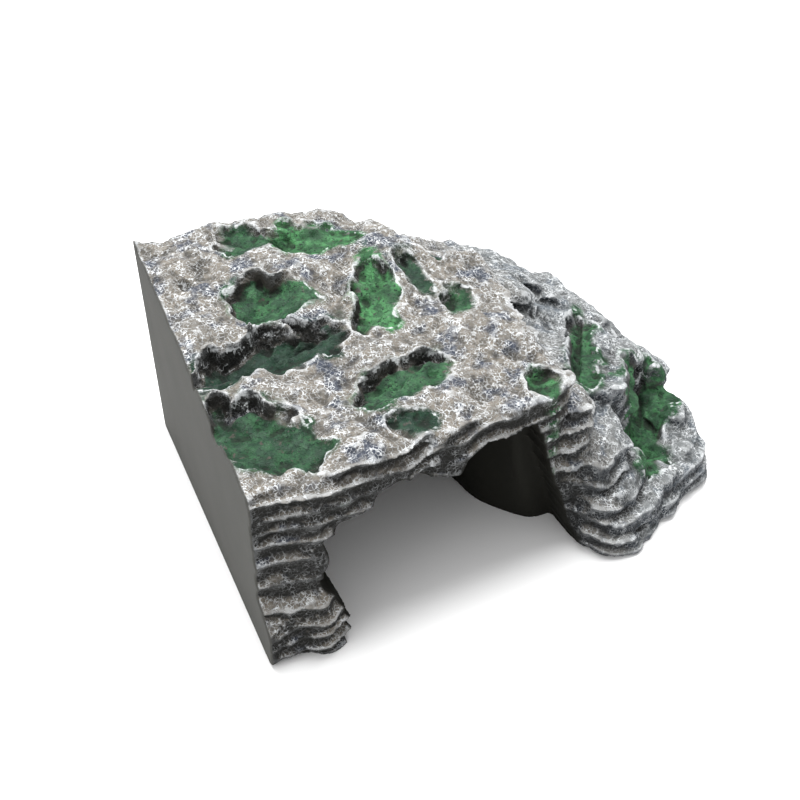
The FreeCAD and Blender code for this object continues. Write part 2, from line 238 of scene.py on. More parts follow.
def layer_field():
    """How far each layer's edge stands out: sharp ridges with a hollow scoop between each two."""
    height = Z3 + waves(plan_noise, 21, (2.2, 17), (1.1, 6))[:, :, None]
    number = np.interp(height, LAYER_EDGES, np.arange(len(LAYER_EDGES))).astype(np.float32)
    part = number - np.floor(number)
    ridge = (2 * part - 1) ** 2
    thickness = np.interp(number - part, np.arange(len(LAYER_EDGES) - 1), np.diff(LAYER_EDGES))
    strength = np.clip(0.85 + 0.5 * noise(23, 9), 0.05, 1.7)
    return strength * (ridge - MEAN_RIDGE) * np.clip(thickness.astype(np.float32), 4, 9) * LAYER_DEPTH


LAYERS = layer_field()


def plane(at, slope=(0, 0)):
    """Height in plan of a tilted plane through a point."""
    x, y, z = at
    return z + slope[0] * (X2 - LEFT - x) + slope[1] * (Y2 - FRONT - y)


def relief(seed, coarse=0.8, fine=0.5):
    """Lumps on a slab's top."""
    return waves(plan_noise, seed, (coarse, 16), (fine, 7))


def ridge_at(x, width):
    """1 along the line at that X of the frame, fading away over the width on each side of it."""
    return np.exp(-((X2 - x) / width) ** 2)


# How far the roof's peaks may rise above the CAD box before lumps are added.
PEAK_LIMIT = 1.6


def roof_top():
    """Height of the roof: it climbs to the back, with a hump at the left and notches in its back edge."""
    top = plane((0, LIP_Y - FRONT, ROOF_FRONT_Z), (0, ROOF_SLOPE)) + relief(31, 1.1, 0.8)
    hump = 2.8 * ridge_at(-72, 36)
    notches = 4.5 * ridge_at(-16, 6.5) + 3.2 * ridge_at(-26, 8)
    top += hump * smooth_step(Y2, 0, 50)
    top -= notches * smooth_step(Y2, 45, 68)
    return smooth_min(top, TOP + PEAK_LIMIT, 3)


# One slab of rock: its outline in plan, the height of its top, the radius of its top edge, the fillet to the
# rock beside it, and how strongly the layers show in its wall.
Slab = namedtuple("Slab", "outline top edge fillet layers")


def cave_slabs():
    """The roof, the core between cave and ramp, the pillar's foot, and the jamb right of the mouth."""
    yield Slab([(-10, 12), (5, 12), (14, 8.5), (23, 7), (33, 9), (43, 11), (54, 12), (73, 15), (91, 14.5),
                (110, 16), (120, 18), (126, 27), (124, 39), (122, 53), (126, 73), (129, 87), (128, 101),
                (119, 102), (109, 103), (98, 119), (90, 135), (88, 160), (-10, 160)],
               roof_top(), 2.4, 3, 1)
    yield Slab([(118, 42), (150, 47), (165, 60), (190, 74), (202, 82), (203, 120), (198, 160), (80, 160),
                (84, 120)],
               np.minimum(plane((150, 90, 45), (-0.62, 0)), 66), 3, 2, 0.5)
    yield Slab([(-10, 18), (-8, 4), (10, 4), (18, 1), (24, 2), (29, 6), (31, 14), (24, 26), (-10, 26)],
               plane((18, 8, 21)) + relief(33), 7, 8, 1)
    yield Slab([(119, 99), (129, 99), (137, 85), (136, 71), (132, 55), (135, 41), (139, 29), (133, 19),
                (121, 17)],
               plane((130, 60, 62), (-0.15, 0.04)) + relief(35), 3, 3, 1)


def ramp_slabs():
    """The shoulder beside the roof, the two terraces, two lumps on the rim, and the terrace at the front."""
    shoulder = plane((125, 125, 67.5), (-0.37, -0.12))
    step_to_roof = np.minimum(plane((101, 150, 80), (-0.76, -0.1)), 80)
    yield Slab([(82, 160), (84, 125), (108, 97), (129, 99), (139, 89), (149, 87), (155, 97), (151, 115),
                (143, 135), (141, 160)],
               np.maximum(shoulder, step_to_roof) + relief(37, 1.1, 0.8), 3, 4, 1)
    yield Slab([(139, 55), (143, 41), (151, 36), (163, 40), (169, 47), (175, 53), (185, 61), (190, 69),
                (187, 81), (182, 93), (177, 106), (168, 115), (153, 119), (144, 110), (141, 87), (138, 71)],
               plane((150, 75, 51), (-0.3, 0.06)) + relief(39, 1.2, 0.9), 3.5, 4, 1)
    ramp = np.maximum(plane((165, 125, 50), (-0.8, -0.16)), plane((182, 125, 38), (-0.3, -0.16)))
    limit = np.minimum(plane((190, 125, 35), (-1.1, -0.04)), plane((125, 125, 67), (-0.37, -0.12)))
    yield Slab([(130, 160), (134, 130), (146, 108), (165, 102), (177, 95), (189, 82), (199, 75), (206, 85),
                (208, 115), (206, 160)],
               np.minimum(ramp, limit) + relief(41, 1.1, 0.8), 3, 4, 1)
    yield Slab([(185, 85), (195, 85), (204, 77), (204, 67), (200, 59), (194, 56), (189, 59), (187, 69)],
               plane((195, 68, 31), (-0.3, 0.1)) + relief(43), 4, 3, 0.9)
    yield Slab([(184, 52), (193, 56), (199, 50), (196, 41), (188, 37), (182, 42)],
               plane((190, 46, 24), (-0.3, 0.1)) + relief(45), 4, 3, 0.9)
    yield Slab([(163, 25), (171, 19), (185, 23), (197, 33), (201, 45), (195, 63), (185, 69), (175, 61),
                (165, 49), (161, 37)],
               plane((181, 42, 21), (0, 0.33)) + relief(47), 3, 3, 0.6)


def front_slabs():
    """The tongue right of the mouth, the block on the jamb behind it, and the ledge below it."""
    yield Slab([(125, 25), (128, 17), (134, 13), (142, 13), (150, 17), (155, 23), (157, 30), (155, 37),
                (149, 42), (137, 45), (127, 39)],
               plane((142, 28, 42), (-0.22, 0.5)) + relief(49), 3, 1.5, 0.6)
    yield Slab([(123, 20), (133, 18), (139, 27), (141, 39), (135, 55), (125, 55)],
               plane((127, 30, 62), (-0.5, 0.05)) + relief(51), 3, 3, 1)
    yield Slab([(127, 25), (129, 13), (132, 6), (140, 5), (150, 8), (158, 14), (164, 22), (167, 31),
                (163, 39), (129, 39)],
               plane((147, 20, 23.5), (-0.08, 0.3)) + relief(53), 4, 2, 0.6)


def base_slabs():
    """Two layers at the foot of the ramp, the upper one a little smaller."""
    outline = [(127, 27), (129, 14), (132, 2), (139, -0.5), (147, -1), (155, 1), (163, 5), (172, 9),
               (187, 17), (196, 27), (202, 39), (206, 53), (207, 66), (210, 92), (209, 115), (205, 137),
               (204, 160), (165, 160), (145, 35)]
    yield Slab(outline, plane((150, 20, 9)) + relief(55), 2.5, 1.5, 0.7)
    middle = np.mean(outline, 0)
    smaller = [tuple(middle + 0.955 * (np.array(point) - middle)) for point in outline]
    yield Slab(smaller, plane((150, 20, 15.5)) + relief(57), 3, 1.5, 0.7)


# ---- pits and the moss in them ----

# One pit, in millimetres and degrees: its middle in plan, half its length and half its width, and the
# direction of its length from the X axis. Then its depth, the slope of its far left wall and of its near
# right side, and how bright its moss and the wash in it are; in the slot and the corner pit that darkness
# is partly painted shade.
Pit = namedtuple("Pit", "middle half_length half_width direction depth far_slope near_slope tone")
PITS = {
    "back_left": Pit((42, 136), 17, 9, -16, 4.5, 0.8, 0.6, 0.3),
    "back_middle": Pit((64, 131), 18, 13, -8, 5, 0.75, 0.6, 0.9),
    "round": Pit((40, 99), 14, 12, -60, 6, 2.4, 0.55, 0.45),
    "oval": Pit((76, 86), 20, 9.5, 58, 6, 1.5, 0.6, 1.0),
    "slot": Pit((29, 73), 31, 10, 4, 10, 5.0, 1.2, 0.0),
    "centre": Pit((66, 43), 19, 10, 10, 6.5, 3.0, 0.55, 0.45),
    "front": Pit((58, 23), 10, 8, -30, 4, 1.8, 0.5, 0.05),
    "corner": Pit((12, 37), 24, 13, -48, 8, 3.0, 0.65, 0.25),
    "small": Pit((106, 78), 9, 6, 62, 4, 1.8, 0.7, 0.5),
    "lip_end": Pit((114, 25), 9, 7, 34, 4, 1.6, 0.8, 0.85),
    "channel": Pit((96, 95), 13, 5, 100, 4.5, 2.0, 0.8, 0.1),
    "shoulder": Pit((113, 119), 10, 6, 110, 4, 2.0, 0.8, 0.1),
    "upper_valley": Pit((158, 66), 28, 7.5, 58, 9, 2.2, 0.9, 0.5),
    "lower_valley": Pit((177, 44), 27, 11, 58, 9, 1.8, 0.8, 0.55),
}
# The inset of places that are far from any pit, and the direction in plan where a pit's steep wall is.
NO_PIT = -6
STEEP_SIDE = (-0.55, 0.83)


def pit_inset(name):
    """Distance in plan inside a pit's rim, negative outside it, and how far round to its steep wall it is."""
    pit = PITS[name]
    angle = math.radians(pit.direction)
    x = X2 - LEFT - pit.middle[0]
    y = Y2 - FRONT - pit.middle[1]
    along = (x * math.cos(angle) + y * math.sin(angle)) / pit.half_length
    across = (y * math.cos(angle) - x * math.sin(angle)) / pit.half_width
    away = np.hypot(along, across)
    out_x = math.cos(angle) * along / pit.half_length - math.sin(angle) * across / pit.half_width
    out_y = math.sin(angle) * along / pit.half_length + math.cos(angle) * across / pit.half_width
    toward_steep = STEEP_SIDE[1] * out_y + STEEP_SIDE[0] * out_x
    side = away * toward_steep / (np.hypot(out_x, out_y) + 1e-6)
    wobble = waves(plan_noise, 600 + 10 * list(PITS).index(name), (0.13, 9), (0.1, 4), (0.05, 2))
    return (1.03 - away + wobble) * pit.half_width, side


def pit_depth(name):
    """How deep a pit is in plan. Its far left wall is steep and its near right side is gentle."""
    pit = PITS[name]
    inset, side = pit_inset(name)
    slope = pit.near_slope + (pit.far_slope - pit.near_slope) * smooth_step(side, -0.15, 0.45)
    fall = np.maximum(inset, 0) * slope
    raised_rim = 0.7 * np.exp(-((inset + 0.8) / 1.2) ** 2) * smooth_step(side, -0.4, 0.4)
    return pit.depth * (1 - np.exp(-1.35 * fall / pit.depth)) - raised_rim


def steepness(field):
    """How steep a field in plan is, rise over run."""
    along_x, along_y = np.gradient(field, STEP)
    return np.hypot(along_x, along_y)


def pit_paint():
    """In plan, for all pits together: how green it is, how bright the moss is (partly painted shade), and how
    far inside a rim.
    """
    green = np.zeros(SHAPE[:2], np.float32)
    tone = np.zeros(SHAPE[:2], np.float32)
    deepest = np.full(SHAPE[:2], NO_PIT, np.float32)
    for name, pit in PITS.items():
        inset = pit_inset(name)[0]
        green = np.maximum(green, smooth_step(inset + 1.6 * plan_noise(71, 6), -3, 4.5))
        tone = np.where(inset > deepest, pit.tone, tone)
        deepest = np.maximum(deepest, inset)
    return green * (1 - WALLS), tone, deepest


PIT_FIELD = sum(pit_depth(name) for name in PITS)
WALLS = smooth_step(blurred(steepness(PIT_FIELD), 0.7, STEP), 0.9, 2.0)
GREEN, TONE_AND_SHADE, INSET = pit_paint()


# ---- the casting as one field ----

CRACKLE_HEIGHT = 0.28


def crackle():
    """Fine ridges in a net, like cracked paint on rough rock, from 0 to 1."""
    first = np.abs(noise(101, 2.3))
    second = np.abs(noise(102, 3.1))
    return np.maximum(smooth_step(-first, -0.42, 0), 0.9 * smooth_step(-second, -0.36, 0))


def rough(field):
    """A field of rock with its lumps, dents and fine ridges."""
    lumps = waves(noise, 103, (0.55, 7.5), (0.4, 3.6), (0.16, 1.7))
    return field + lumps - CRACKLE_HEIGHT * crackle()


def outer_rock():
    """The casting's outer shape, and its height in plan."""
    field = np.full(SHAPE, FAR, np.float32)
    height = np.zeros(SHAPE[:2], np.float32)
    for slab in itertools.chain(cave_slabs(), ramp_slabs(), front_slabs(), base_slabs()):
        side = outline_distance(PLAN_X, PLAN_Y, slab.outline)
        top = slab.top - PIT_FIELD
        height = np.where(side < 0, np.maximum(height, top), height)
        points = np.array(slab.outline)
        reach = slab.edge + FAR
        low_x, low_y = points.min(0)
        high_x, high_y = points.max(0)
        part = window((LEFT + low_x - reach, FRONT + low_y - reach, -5),
                      (LEFT + high_x + reach, FRONT + high_y + reach, top[side < 0].max() + reach))
        wall = side[part[:2]][:, :, None] - slab.layers * LAYERS[part]
        tilt = np.hypot(1, blurred(steepness(top), 0.6, STEP))
        above = (Z3[:, :, part[2]] - top[part[:2]][:, :, None]) / tilt[part[:2]][:, :, None]
        field[part] = smooth_min(field[part], rounded_max(wall, above, slab.edge), slab.fillet)
    return np.clip(field, -FAR, FAR), height


# The cave's mouth as seen from the front, and the plans of the hollows behind it and under the ramp.
MOUTH = [(28, -20), (28, 0), (30.3, 4.5), (29.7, 12), (26.6, 22), (21.8, 27.5), (21.8, 34), (24.3, 35.5),
         (25.3, 39.5), (23, 47), (26, 50.5), (33.5, 51.5), (39, 52.5), (42, 53), (44.5, 57), (48, 58),
         (53, 59), (60, 57), (67, 56), (73.5, 53), (77, 55), (81, 58), (86, 60), (95, 62), (105, 62.7),
         (107.8, 60), (110.5, 52), (115.5, 38), (121, 23.5), (124.8, 10), (127.5, 0), (127.5, -20)]
CHAMBER_FLOOR = [(12.5, 30), (12.5, 137), (83, 137), (95, 105), (102, 52), (116, 33), (127, 24), (60, 22),
                 (30, 24)]
CHAMBER_TOP = [(12.5, 30), (12.5, 137), (83, 137), (95, 105), (99, 60), (103, 40), (105, 24), (60, 22),
               (30, 24)]
POCKET = [(139, 45), (157, 35), (185, 41), (197, 55), (198, 95), (195, 137), (111, 137), (119, 95),
          (125, 65), (131, 50)]
# How much rock is left above the cave and above the pocket, the height over which the cave's plan changes
# from that of its floor to that of its top, and how far the mouth's shape goes in.
CHAMBER_ROOF = 9
POCKET_ROOF = 8
CHAMBER_RISE = 60
MOUTH_REACH = 31


def hollow_inside():
    """The cave and the pocket under the ramp, negative inside them."""
    plain_x = X2 - LEFT
    plain_y = Y2 - FRONT
    lowest = lowest_near(np.where(HEIGHT > 0, HEIGHT, 99), 6)
    ceiling = blurred(lowest, 2, STEP)[:, :, None]
    wander = 0.5 * noise(111, 14)
    rise = np.clip(Z3 / CHAMBER_RISE, 0, 1)
    on_floor = outline_distance(plain_x, plain_y, CHAMBER_FLOOR)[:, :, None]
    on_top = outline_distance(plain_x, plain_y, CHAMBER_TOP)[:, :, None]
    chamber = rounded_max(on_floor * (1 - rise) + on_top * rise, Z3 - ceiling + CHAMBER_ROOF, 7) + wander
    pocket_plan = outline_distance(plain_x, plain_y, POCKET)[:, :, None]
    pocket = rounded_max(pocket_plan, Z3 - ceiling + POCKET_ROOF, 6) + wander
    across_mouth = outline_distance(plain_x, AXES[2][None, :], MOUTH)[:, None, :]
    depth = np.maximum(FRONT - 20 - Y2, Y2 - FRONT - MOUTH_REACH)[:, :, None]
    mouth = rounded_max(across_mouth + 0.45 * LAYERS + 0.35 * wander, depth, 2)
    return smooth_min(smooth_min(chamber, mouth, 3), pocket, 1)


FLAT_SIDES = ((LEFT - X2)[:, :, None], (Y2 - BACK)[:, :, None])


def casting():
    """The rock less its hollows, cut off at the flat left and back faces and the floor."""
    field = -smooth_min(-OUTER, HOLLOW, 1.6)
    for face in (*FLAT_SIDES, -Z3):
        field = np.maximum(field, face)
    return np.clip(field, -FAR, FAR)


OUTER, HEIGHT = outer_rock()
OUTER = rough(OUTER)
HOLLOW = np.clip(hollow_inside(), -FAR, FAR)
ROCK = casting()
FINE_SKIP = round(1 / STEP)
BROAD_SKIP = round(2 / STEP)
# On the surface the field is zero, so its blur there says how far the rock stands out of what is round it.
FINE_RIDGE = blurred(ROCK[::FINE_SKIP, ::FINE_SKIP, ::FINE_SKIP], 0.9, FINE_SKIP * STEP)
BROAD_RIDGE = blurred(ROCK[::BROAD_SKIP, ::BROAD_SKIP, ::BROAD_SKIP], 3.2, BROAD_SKIP * STEP)


# ---- meshes cut from the field ----

def sampled(field, points, skip=1):
    """A field's value at points in millimetres. The field may hold one sample in every few."""
    place = (points - ORIGIN) / (STEP * skip)
    cell = np.clip(np.floor(place).astype(int), 0, np.array(field.shape) - 2)
    part = (place - cell).astype(np.float32)
    total = np.zeros(len(points), np.float32)
    for corner in np.ndindex(2, 2, 2):
        weight = np.prod(np.where(corner, part, 1 - part), 1)
        index = cell + corner
        total += weight * field[index[:, 0], index[:, 1], index[:, 2]]
    return total


def sampled_plan(field, points):
    """A plan field's value at points in millimetres, from the nearest sample."""
    cell = np.rint((points - ORIGIN) / STEP).astype(int)
    return field[np.clip(cell[:, 0], 0, SHAPE[0] - 1), np.clip(cell[:, 1], 0, SHAPE[1] - 1)]


def surface(field, part):
    """Vertices in millimetres and quads of the surface where a field is zero, in that part of the grid."""
    outside = 2.0
    grid = openvdb.FloatGrid(outside)
    padded = np.pad(field, 1, constant_values=outside)
    grid.copyFromArray(np.clip(padded, -outside, outside).astype(np.float32))
    points, quads = grid.convertToQuads(0.0)
    corner = np.array([cut.start for cut in part])
    return (points - 1) * STEP + ORIGIN + corner * STEP, quads


def largest_parts(points, quads, fewest=60):
    """The surface without crumbs of fewer vertices than that."""
    label = np.arange(len(points))
    while True:
        lowest = label[quads].min(1)
        changed = label.copy()
        for column in range(4):
            np.minimum.at(changed, quads[:, column], lowest)
        changed = changed[changed]
        if np.array_equal(changed, label):
            break
        label = changed
    sizes = np.bincount(label, minlength=len(points))
    kept = sizes[label] >= fewest
    number = np.cumsum(kept) - 1
    return points[kept], number[quads[kept[quads].all(1)]]


def mesh_object(name, points, quads):
    """A smooth-shaded mesh object in the row frame."""
    mesh = bpy.data.meshes.new(name)
    mesh.vertices.add(len(points))
    mesh.vertices.foreach_set("co", (points * MM).astype(np.float32).ravel())
    mesh.loops.add(quads.size)
    mesh.loops.foreach_set("vertex_index", quads.astype(np.int32).ravel())
    mesh.polygons.add(len(quads))
    mesh.polygons.foreach_set("loop_start", np.arange(0, quads.size, 4, dtype=np.int32))
    mesh.update(calc_edges=True)
    mesh.polygons.foreach_set("use_smooth", np.ones(len(quads), bool))
    mesh.validate()
    piece = bpy.data.objects.new(name, mesh)
    bpy.context.collection.objects.link(piece)
    return piece


# Sections claim rock in this order, each inside its own CAD box and then a little beyond it.
SECTIONS = (
    "side_wall", "pillar_foot", "pillar_shaft", "arch_haunch", "mouth_lip", "back_wall", "ramp_back_wall",
    "cave_inner_wall", "right_jamb", "roof_slab", "jamb_head", "tongue_ledge", "lower_ledge", "base_slab",
    "outer_lobe", "front_terrace", "ramp_shoulder", "upper_terrace", "lower_terrace")
# How far beyond its box a section reaches in each round of claims, and how far neighbours overlap.
REACHES = (0, 5, 14)
OVERLAP = 1.2
UNCLAIMED = 99


def box_distance(name, grow, part):
    """Distance from a CAD box made larger by grow, in a part of the grid."""
    low, high = BOXES[name]
    gaps = [np.abs(axis[cut] - (start + end) / 2) - (end - start) / 2 - grow
            for axis, cut, start, end in zip(AXES, part, low, high)]
    plan_gap = np.maximum(gaps[0][:, None], gaps[1][None, :])
    return np.maximum(plan_gap[:, :, None], gaps[2][None, None, :])


def section_regions():
    """For each section, its part of the grid and how far outside the section a place is."""
    claimed = np.full(SHAPE, UNCLAIMED, np.float32)
    regions = {}
    for name in SECTIONS:
        low, high = BOXES[name]
        part = window(low - REACHES[-1] - 2, high + REACHES[-1] + 2)
        regions[name] = (part, np.full(claimed[part].shape, UNCLAIMED, np.float32))
    for grow in REACHES:
        for name in SECTIONS:
            part, region = regions[name]
            reach = box_distance(name, grow, part)
            np.minimum(region, np.maximum(reach, -claimed[part]), out=region)
            np.minimum(claimed[part], reach, out=claimed[part])
    return regions


def set_attribute(piece, name, values):
    """One number for each vertex, which the material reads."""
    data = piece.data.attributes.new(name, "FLOAT", "POINT").data
    data.foreach_set("value", np.ascontiguousarray(values, np.float32))


def set_paint(piece, points, inner, flat):
    """The numbers that the material reads. Only the casting's top has pits and their green."""
    near_top = smooth_step(points[:, 2] - sampled_plan(HEIGHT, points), -6, -2)
    set_attribute(piece, "fine_ridge", sampled(FINE_RIDGE, points, FINE_SKIP))
    set_attribute(piece, "broad_ridge", sampled(BROAD_RIDGE, points, BROAD_SKIP))
    set_attribute(piece, "inner", inner)
    set_attribute(piece, "flat", flat)
    set_attribute(piece, "green", sampled_plan(GREEN, points) * near_top)
    set_attribute(piece, "inset", (sampled_plan(INSET, points) - NO_PIT) * near_top + NO_PIT)
    set_attribute(piece, "tone", sampled_plan(TONE_AND_SHADE, points))


def finish_piece(piece, node):
    """Hangs a finished piece under the root body and hides its CAD node."""
    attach(piece, "root")
    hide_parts(node)


def rock_pieces():
    """One mesh for each section of the rock."""
    for name, (part, region) in section_regions().items():
        field = np.maximum(ROCK[part] + 0.5 * np.maximum(region, 0), region - OVERLAP)
        points, quads = largest_parts(*surface(field, part))
        piece = mesh_object(name + "_rock", points, quads)
        inner = smooth_step(-sampled(HOLLOW, points), -1.5, -0.3)
        flat = (np.abs(points[:, 0] - LEFT) < 0.7) | (np.abs(points[:, 1] - BACK) < 0.7)
        flat |= np.abs(points[:, 2]) < 0.1
        set_paint(piece, points, inner, flat)
        finish_piece(piece, name)
        yield piece


# How far a moss shell may go past its CAD box, the room round that, how deep it is sunk in the rock, and how
# far it stays behind the flat faces.
MOSS_REACH = 9
MOSS_ROOM = 10
MOSS_DEPTH = 0.9
MOSS_SETBACK = 0.3


def moss_pieces():
    """One thin shell of moss for each patch, with ragged edges that sink into the rock."""
    fuzz = waves(noise, 121, (0.14, 1.6), (0.22, 4.5))
    for name in PITS:
        node = "moss_" + name
        low, high = BOXES[node]
        part = window(low - MOSS_ROOM, high + MOSS_ROOM)
        inset = pit_inset(name)[0][part[:2]][:, :, None]
        thick = -0.5 + 0.72 * smooth_step(inset, -1.5, 2.5) - 0.8 * WALLS[part[:2]][:, :, None] + fuzz[part]
        outer = OUTER[part]
        field = np.maximum(outer - thick, -(outer + MOSS_DEPTH))
        field = np.maximum(field, np.maximum(-inset - 2.2, box_distance(node, MOSS_REACH, part)))
        for face in FLAT_SIDES:
            field = np.maximum(field, np.broadcast_to(face, SHAPE)[part] + MOSS_SETBACK)
        points, quads = largest_parts(*surface(field, part))
        piece = mesh_object("moss_patch_" + name, points, quads)
        nowhere = np.zeros(len(points))
        set_paint(piece, points, nowhere, nowhere)
        finish_piece(piece, node)
        yield piece


# ---- shader nodes ----

def add(tree, kind, inputs=(), **settings):
    """A shader node with its settings, and its inputs set to values or linked to sockets."""
    node = tree.nodes.new("ShaderNode" + kind)
    for key, value in settings.items():
        setattr(node, key, value)
    for key, value in dict(inputs).items():
        if isinstance(value, bpy.types.NodeSocket):
            tree.links.new(value, node.inputs[key])
        else:
            node.inputs[key].default_value = value
    return node


def mix(tree, factor, a, b):
    """Two colours mixed."""
    return add(tree, "Mix", {0: factor, 6: a, 7: b}, data_type="RGBA").outputs[2]


def fade(tree, value, low, high):
    """0 where a value is at low, 1 where it is at high, with a soft change between."""
    inputs = {0: value, 1: low, 2: high}
    return add(tree, "MapRange", inputs, interpolation_type="SMOOTHSTEP").outputs[0]


def calculate(tree, operation, a, b):
    """Arithmetic on two values."""
    return add(tree, "Math", {0: a, 1: b}, operation=operation).outputs[0]


def times(tree, a, *others):
    """Values multiplied, one after the other."""
    for b in others:
        a = calculate(tree, "MULTIPLY", a, b)
    return a


def greater(tree, a, b):
    """The greater of two values."""
    return calculate(tree, "MAXIMUM", a, b)


def inverse(tree, value):
    """1 where a value is 0, and 0 where it is 1."""
    return calculate(tree, "SUBTRACT", 1.0, value)


def at_least(tree, value, least):
    """A value from 0 to 1 brought up, so that it runs from least to 1."""
    return calculate(tree, "ADD", times(tree, value, 1 - least), least)


def attribute(tree, name):
    """A number that the mesh carries."""
    return add(tree, "Attribute", attribute_name=name).outputs["Fac"]


def object_place(tree):
    """The surface's place on the object, in metres."""
    return add(tree, "TexCoord").outputs["Object"]


def noise_value(tree, size, detail):
    """Noise with blobs of about that size in millimetres."""
    inputs = {"Vector": object_place(tree), "Scale": 1 / (size * MM), "Detail": detail, "Roughness": 0.55}
    return add(tree, "TexNoise", inputs).outputs["Fac"]


def blotches(tree, size, low, high, detail=4):
    """1 in blotches of about that size in millimetres and 0 between them, with edges from low to high."""
    return fade(tree, noise_value(tree, size, detail), low, high)


def crack_lines(tree, size, width):
    """1 on the borders of cells of about that size in millimetres, 0 inside them."""
    here = object_place(tree)
    shift = add(tree, "TexNoise", {"Vector": here, "Scale": 1 / (1.3 * size * MM), "Detail": 2.0})
    amount = (1.7 * size * MM,) * 3
    moved = add(tree, "VectorMath", {0: shift.outputs["Color"], 1: amount}, operation="MULTIPLY")
    where = add(tree, "VectorMath", {0: here, 1: moved.outputs[0]}, operation="ADD").outputs[0]
    cells = add(tree, "TexVoronoi", {"Vector": where, "Scale": 1 / (size * MM)}, feature="DISTANCE_TO_EDGE")
    return fade(tree, cells.outputs["Distance"], width, 0.3 * width)


# ---- materials ----

TAUPE = (0.145, 0.134, 0.117, 1)
WARM = (0.185, 0.167, 0.142, 1)
SLATE = (0.052, 0.060, 0.080, 1)
BLUE_GREY = (0.145, 0.166, 0.180, 1)
COLD_DARK = (0.032, 0.038, 0.046, 1)
CHARCOAL = (0.013, 0.013, 0.0118, 1)
PIT = (0.044, 0.040, 0.033, 1)
PIT_DARK = (0.013, 0.014, 0.011, 1)
HOLLOW_WASH_AND_SHADE = (0.006, 0.006, 0.0055, 1)
PALE = (0.67, 0.69, 0.705, 1)
CAVE_INSIDE_SHADE = (0.010, 0.0098, 0.0075, 1)
RESIN_DARK = (0.058, 0.058, 0.054, 1)
RESIN_LIGHT = (0.080, 0.080, 0.074, 1)
MOSS = (0.028, 0.092, 0.038, 1)
MOSS_BRIGHT = (0.074, 0.235, 0.090, 1)
MOSS_DEEP = (0.011, 0.029, 0.017, 1)
MOSS_TEAL = (0.013, 0.027, 0.022, 1)


def new_material(name):
    """An empty material, its node tree and its shader."""
    material = bpy.data.materials.new(name)
    material.use_nodes = True
    tree = material.node_tree
    return material, tree, tree.nodes["Principled BSDF"]


def moss_colour(tree):
    """Sprayed green, mottled with near black, and greyer and darker where the tone is low, which in the slot
    and the corner pit is partly painted shade.
    """
    colour = mix(tree, blotches(tree, 3.5, 0.38, 0.62), MOSS, MOSS_BRIGHT)
    colour = mix(tree, times(tree, inverse(tree, attribute(tree, "tone")), 0.9), colour, MOSS_TEAL)
    colour = mix(tree, times(tree, blotches(tree, 7, 0.5, 0.66), 0.8), colour, MOSS_DEEP)
    return mix(tree, blotches(tree, 1.2, 0.56, 0.68, 2), colour, MOSS_DEEP)


def moss_cover(tree, slope):
    """Where the green is: in the pits, in blotches, and less of it on steep rock."""
    cover = times(tree, attribute(tree, "green"), 1.5, blotches(tree, 2.5, 0.22, 0.5))
    return times(tree, fade(tree, cover, 0.05, 0.95), at_least(tree, fade(tree, slope, 0.05, 0.4), 0.2))


def wash_and_shade_colour(tree, upward, to_right, in_pit):
    """The rock's washes and painted shade: taupe with slate blotches, blue-grey to the right, dark on walls
    and in pits, partly from a dark wash and partly as painted shade.
    """
    top = mix(tree, blotches(tree, 9, 0.4, 0.62, 3), TAUPE, WARM)
    top = mix(tree, blotches(tree, 11, 0.5, 0.64), top, SLATE)
    top = mix(tree, times(tree, to_right, 0.65), top, BLUE_GREY)
    # Painted shade over a dark wash: faces that don't face up are made charcoal, and cold dark on the right.
    colour = mix(tree, upward, mix(tree, to_right, CHARCOAL, COLD_DARK), top)
    # Painted shade over a dark wash: rock inside the pits is darkened, most where the pit's tone is low.
    pit_wash_and_shade = mix(tree, fade(tree, attribute(tree, "tone"), 0, 0.3), PIT_DARK, PIT)
    return mix(tree, times(tree, in_pit, 0.75), colour, pit_wash_and_shade)


def cracks(tree, fine):
    """The net of dry-brushed lines: broken here and there, and weaker in the fine hollows."""
    unbroken = at_least(tree, blotches(tree, 2, 0.4, 0.5, 2), 0.2)
    return times(tree, crack_lines(tree, 1.45, 0.13), unbroken,
                 at_least(tree, fade(tree, fine, -0.15, 0.08), 0.35))


def brushed_paint(tree, lines, fine, covers):
    """Where the pale paint is: on the lines and fine ridges as far as the covers let it, and on the rims."""
    brushed = greater(tree, lines, times(tree, fade(tree, fine, 0.13, 0.28), 0.5))
    for cover, least in covers:
        brushed = times(tree, brushed, at_least(tree, cover, least))
    inset = attribute(tree, "inset")
    rim = times(tree, fade(tree, inset, -1.0, -0.3), fade(tree, inset, 0.5, 0.1),
                blotches(tree, 3.5, 0.44, 0.62, 3))
    return greater(tree, brushed, times(tree, rim, 0.8))


